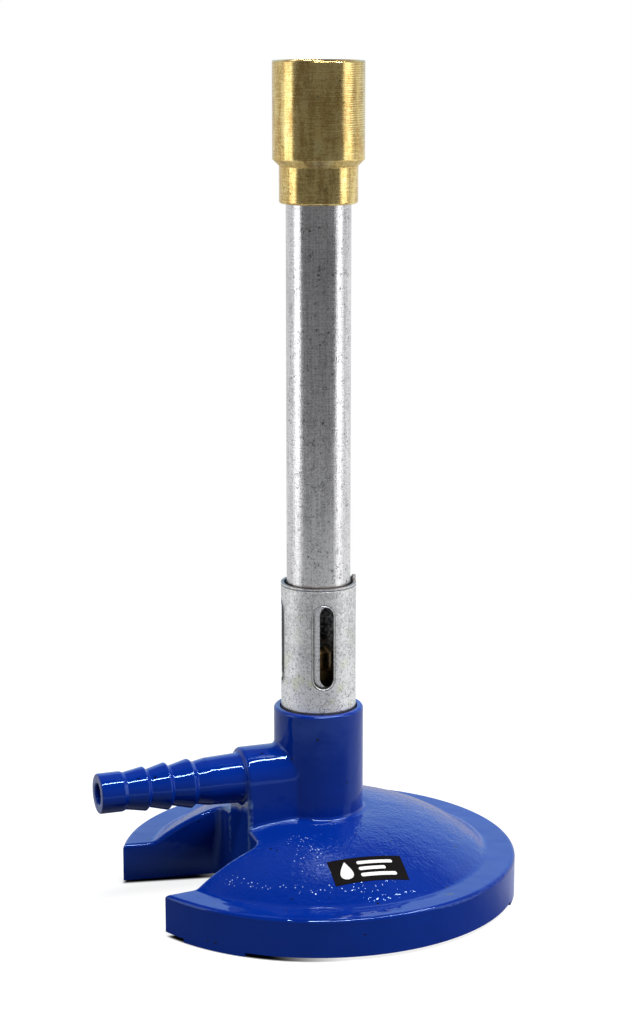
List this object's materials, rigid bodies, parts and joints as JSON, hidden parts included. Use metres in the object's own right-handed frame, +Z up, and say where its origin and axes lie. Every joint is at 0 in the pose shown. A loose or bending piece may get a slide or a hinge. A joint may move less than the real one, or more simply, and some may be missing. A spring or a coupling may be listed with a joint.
{
  "type": "bunsen burner",
  "caption": "Bench gas burner: round enamelled base with a barbed hose nozzle, upright barrel, turning slotted air collar and a brass flame-stabilising head.",
  "frame": {"origin": "centre of the round base, on the bench plane, on the barrel's axis", "axes": "+Z up the barrel; -X along the hose nozzle, away from the column; the label is on the -Y side"},
  "size_m": [0.0863, 0.08, 0.1663],
  "materials": {
    "blue_enamel": "gloss",
    "bare_aluminium": "satin",
    "zinc_plated_sheet": "satin",
    "brass": "satin",
    "fibre": "matte",
    "label_film": "satin"
  },
  "bodies": {
    "burner": {"base_casting": "blue_enamel", "barrel": "bare_aluminium", "head_shell": "brass", "pilot_ring": "brass", "jet_holder": "brass", "gas_jet": "brass", "foot_bush": "bare_aluminium", "jet_washer": "fibre", "base_label": "label_film"},
    "air_collar": {"air_collar": "zinc_plated_sheet"}
  },
  "joints": [
    {"name": "air_collar_turn", "type": "hinge", "parent": "burner", "child": "air_collar", "pos_m": [0, 0, 0.048], "axis": [0, 0, 1], "continuous": true}
  ]
}
